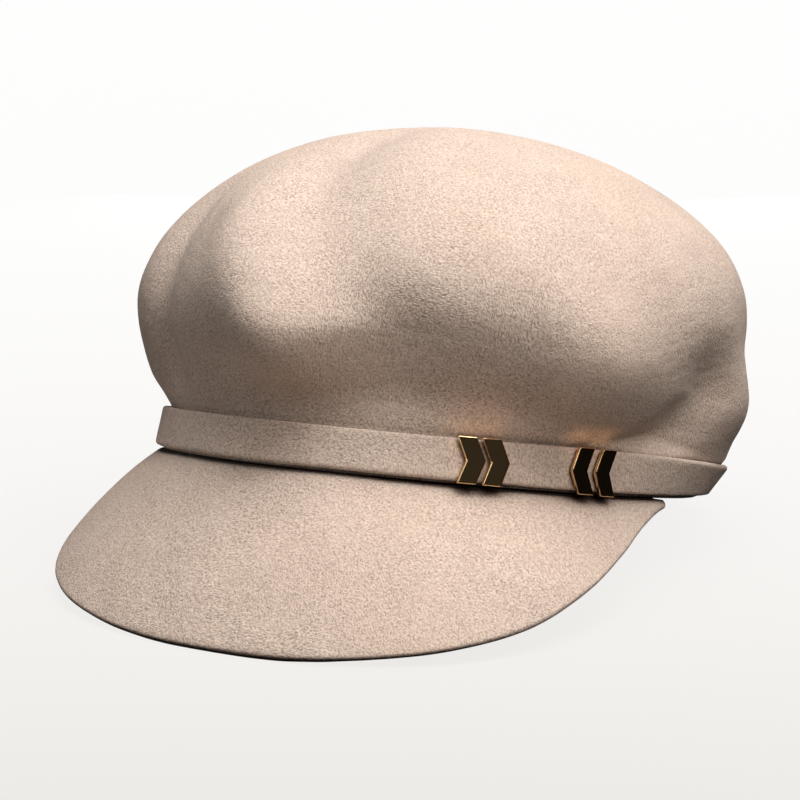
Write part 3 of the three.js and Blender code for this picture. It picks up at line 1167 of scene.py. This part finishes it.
def direction(azimuth: float, elevation: float) -> Vector:
    """Gives the direction to a place round and above the cap, both in degrees."""
    a, e = math.radians(azimuth), math.radians(elevation)
    return Vector((math.sin(a) * math.cos(e), -math.cos(a) * math.cos(e), math.sin(e)))


def look_at(thing: bpy.types.Object, target: Vector) -> None:
    """Turns a camera or a lamp to a point."""
    thing.rotation_euler = (target - thing.location).to_track_quat("-Z", "Y").to_euler()


class LampShape(Enum):
    """The shapes of a lamp's face."""

    BOX = "RECTANGLE"
    DISC = "DISK"


@dataclass(frozen=True)
class Lamp:
    """One lamp with a soft face, which the camera doesn't see.

    Attributes:
        name: its name.
        watts: its power.
        colour: its colour.
        mirrored: whether it is seen in the polished metal.
        lights: whether it lights the felt.
        size: its face's width and height, in metres.
        shape: its face's shape.
    """

    name: str
    watts: float
    colour: tuple[float, float, float]
    mirrored: bool = False
    lights: bool = True
    size: tuple[float, float] = (0.6, 0.6)
    shape: LampShape = LampShape.BOX

    def build(self, place: Vector, target: Vector) -> None:
        """Adds the lamp.

        Args:
            place: where it stands.
            target: the point that it is turned to.
        """
        data = bpy.data.lights.new(self.name, "AREA")
        data.shape = self.shape.value
        data.size, data.size_y = self.size
        data.energy = self.watts
        data.color = self.colour
        lamp = bpy.data.objects.new(self.name, data)
        bpy.context.scene.collection.objects.link(lamp)
        lamp.location = place
        look_at(lamp, target)
        lamp.visible_camera = False
        lamp.visible_glossy = self.mirrored
        lamp.visible_diffuse = self.lights


LAMP_AIM = Vector((0.0, 0.0, 0.06))  # the point that the studio's lamps are turned to
LAMP_DISTANCE = 1.1  # how far from it they stand
LAMPS = (  # each with how far round from the front and how far up it stands, in degrees
    (20, 84, Lamp("overhead", 7.2, (1.0, 0.985, 0.965), True)),
    (98, 66, Lamp("side", 7.0, (1.0, 0.985, 0.97), True)),
    (62, 34, Lamp("front", 4.0, (1.0, 0.93, 0.86))),
    (5, 12, Lamp("low", 0.4, (1.0, 0.86, 0.74))),
    (-45, 5, Lamp("left", 1.6, (1.0, 0.975, 0.96), True)),
    (75, 15, Lamp("right", 0.2, (0.97, 0.98, 1.0))),
    (205, 6, Lamp("behind", 2.4, (1.0, 0.98, 0.96))),
    (-60, 12, Lamp("strip_left", 5.0, (1.0, 0.95, 0.85), True, False, (1.2, 0.5))),
    (30, 62, Lamp("strip_top", 6.0, (1.0, 0.95, 0.85), True, False, (1.2, 0.5))),
    (50, 35, Lamp("dim_panel", 0.07, (1.0, 1.0, 0.9), True, False, (0.9, 0.9))),
)
SKY = 0.005  # the even light from all round


@dataclass(frozen=True)
class Stage:
    """The plain pale floor, which curves up into a wall all round.

    Attributes:
        middle: the radius of the flat floor's middle face, in metres.
        floor: the radius of the flat floor.
        bend: the radius of the curve up.
        wall: the height of the wall above the curve.
        rings: rings of points on the flat floor.
        curve: rings of points on the curve.
        around: points round it.
        near: the colour of its glow close to the front of the set; the glow is painted light, dimmer and
            warmer here than behind the cap.
        far: the colour of its glow far behind the cap.
        dark: how far from the front of the set it has its near colour, in metres.
        reach: how steadily it turns into its far colour beyond that, which is all there at 1.
        cloud: the width of its faint clouds, in metres.
        clouding: how strong they are.
        paper: how much of the lamps' light it gives back.
    """

    middle: float = 0.02
    floor: float = 1.0
    bend: float = 0.8
    wall: float = 1.0
    rings: int = 12
    curve: int = 24
    around: int = 96
    near: tuple[float, ...] = tone(222, 219, 214)
    far: tuple[float, ...] = tone(255, 255, 255)
    dark: float = 0.36
    reach: float = 0.92
    cloud: float = 0.4
    clouding: float = 0.02
    paper: tuple[float, ...] = (0.05, 0.05, 0.05, 1.0)

    def build(self, view: Viewpoint) -> None:
        """Adds the floor and wall.

        Args:
            view: the photo's viewpoint, which says where the front of the set is.
        """
        profile = [(r, 0.0) for r in np.linspace(self.middle, self.floor, self.rings)]
        for a in np.linspace(0, math.pi / 2, self.curve)[1:]:
            profile.append((self.floor + self.bend * math.sin(a), self.bend * (1 - math.cos(a))))
        profile.append((self.floor + self.bend, self.bend + self.wall))
        turn = np.linspace(0, 2 * math.pi, self.around, endpoint=False)
        points = [[(r * math.cos(a), r * math.sin(a), z) for a in turn] for r, z in profile]
        faces = ring_faces(len(profile), self.around)
        faces.append(tuple(range(self.around)))
        stage = add_piece("floor", np.array(points), faces)
        stage.data.materials.append(self._paper(view))
        stage.visible_diffuse = False
        stage.visible_glossy = False

    def _paper(self, view: Viewpoint) -> bpy.types.Material:
        """Makes the paper, which glows by itself: painted light, a little warmer and dimmer towards the front
        of the set.

        The front of the set is a fixed place on the floor, and stays where it is in every other view.

        Args:
            view: the photo's viewpoint.

        Returns:
            The material.
        """
        graph = Graph("pale_paper")
        place = graph.place()
        front = view.distance * direction(view.azimuth, 0.0)
        away = graph.add("ShaderNodeVectorMath", {"operation": "DISTANCE"}, {0: place, 1: front}, "Value")
        share = graph.rise(1 - self.dark / away, 0.0, self.reach, "LINEAR")
        cloud = graph.noise(place, self.cloud, 1.0)
        colour = graph.blend(share + self.clouding * cloud, self.near, self.far)
        sockets = {
            "Base Color": self.paper,
            "Roughness": 0.9,
            "Specular IOR Level": 0.0,
            # painted light: the paper's glow stands in for lamplight on it, dimmer and warmer towards the
            # front of the set
            "Emission Color": colour,
            "Emission Strength": 1.0,
        }
        return graph.finish(graph.add("ShaderNodeBsdfPrincipled", None, sockets))


@dataclass(frozen=True)
class Glow:
    """The light that a chevron throws up on the felt above it.

    Attributes:
        size: the width of the light, in metres.
        out: how far it stands out from the chevron's top.
        reach: how far above the chevron's top it is aimed.
        watts: its power.
        colour: its colour.
    """

    size: float = 0.002
    out: float = 0.0015
    reach: float = 0.0005
    watts: float = 0.00007
    colour: tuple[float, float, float] = (1.0, 0.6, 0.3)

    def build(self, node: str) -> None:
        """Adds the light to one chevron.

        Args:
            node: the chevron's node.
        """
        low, high = (Vector(corner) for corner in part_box(node))
        middle = (low + high) / 2
        away = Vector((middle.x, middle.y, 0.0)).normalized()
        top = Vector((middle.x, middle.y, high.z))
        size = (self.size, self.size)
        lamp = Lamp(node + "_glow", self.watts, self.colour, size=size, shape=LampShape.DISC)
        lamp.build(top + self.out * away, top + Vector((0.0, 0.0, self.reach)))


# Painted shade: each felt is darkened where felt faces felt. On the peak it is darker and wider, standing in
# for the band's shadow on it.
CROWN_WOOL = FeltFinish("crown_wool", crevice=0.011)
BAND_WOOL = FeltFinish("band_wool", crevice=0.003)
PEAK_WOOL = FeltFinish("peak_wool", shade=tone(50, 38, 32), crevice=0.008, closed=0.5, open=0.95)


@dataclass
class Cap:
    """The whole cap.

    Attributes:
        block: the shape that its crown was blocked to.
    """

    block: CrownBlock = field(default_factory=CrownBlock)

    def build(self) -> None:
        """Builds every piece, places it and dresses it."""
        peak = Peak(self.block)
        rest = Resting.find(self.block, peak.toe())
        log.info("tipped back %.2f degrees, shifted %s mm", math.degrees(rest.tilt), rest.shift.round(2))
        gilt = GiltFinish().build()
        dress(Crown(self.block).build(rest), CROWN_WOOL.build(), Slot.FELT, "crown")
        dress(Band(self.block).build(rest), BAND_WOOL.build(), Slot.FELT, "band")
        dress(peak.build(rest), PEAK_WOOL.build(), Slot.FELT, "peak")
        for node in sorted(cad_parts):
            if node.startswith("chevron"):
                dress(Chevron(node).build(), gilt, Slot.METAL, node)
                Glow().build(node)


def light(lamps: tuple[tuple[float, float, Lamp], ...], sky: float) -> None:
    """Adds the studio's light.

    Args:
        lamps: its lamps, each with its direction in degrees.
        sky: how bright the even light from all round is.
    """
    for azimuth, elevation, lamp in lamps:
        lamp.build(LAMP_AIM + LAMP_DISTANCE * direction(azimuth, elevation), LAMP_AIM)
    world = bpy.data.worlds.new("sky")
    world.use_nodes = True
    world.node_tree.nodes["Background"].inputs["Color"].default_value = (sky, sky, sky, 1.0)
    bpy.context.scene.world = world
    bpy.context.scene.view_settings.view_transform = "Standard"


def corners(box: tuple[Vector, Vector]) -> list[list[float]]:
    """Turns a box into plain lists."""
    return [list(corner) for corner in box]


def main() -> None:
    """Builds the cap and its studio."""
    logging.basicConfig(level=logging.INFO, format="%(name)s: %(message)s")
    view = Viewpoint()
    view.build()
    Stage().build(view)
    light(LAMPS, SKY)
    Cap().build()


if __name__ == "__main__":
    main()
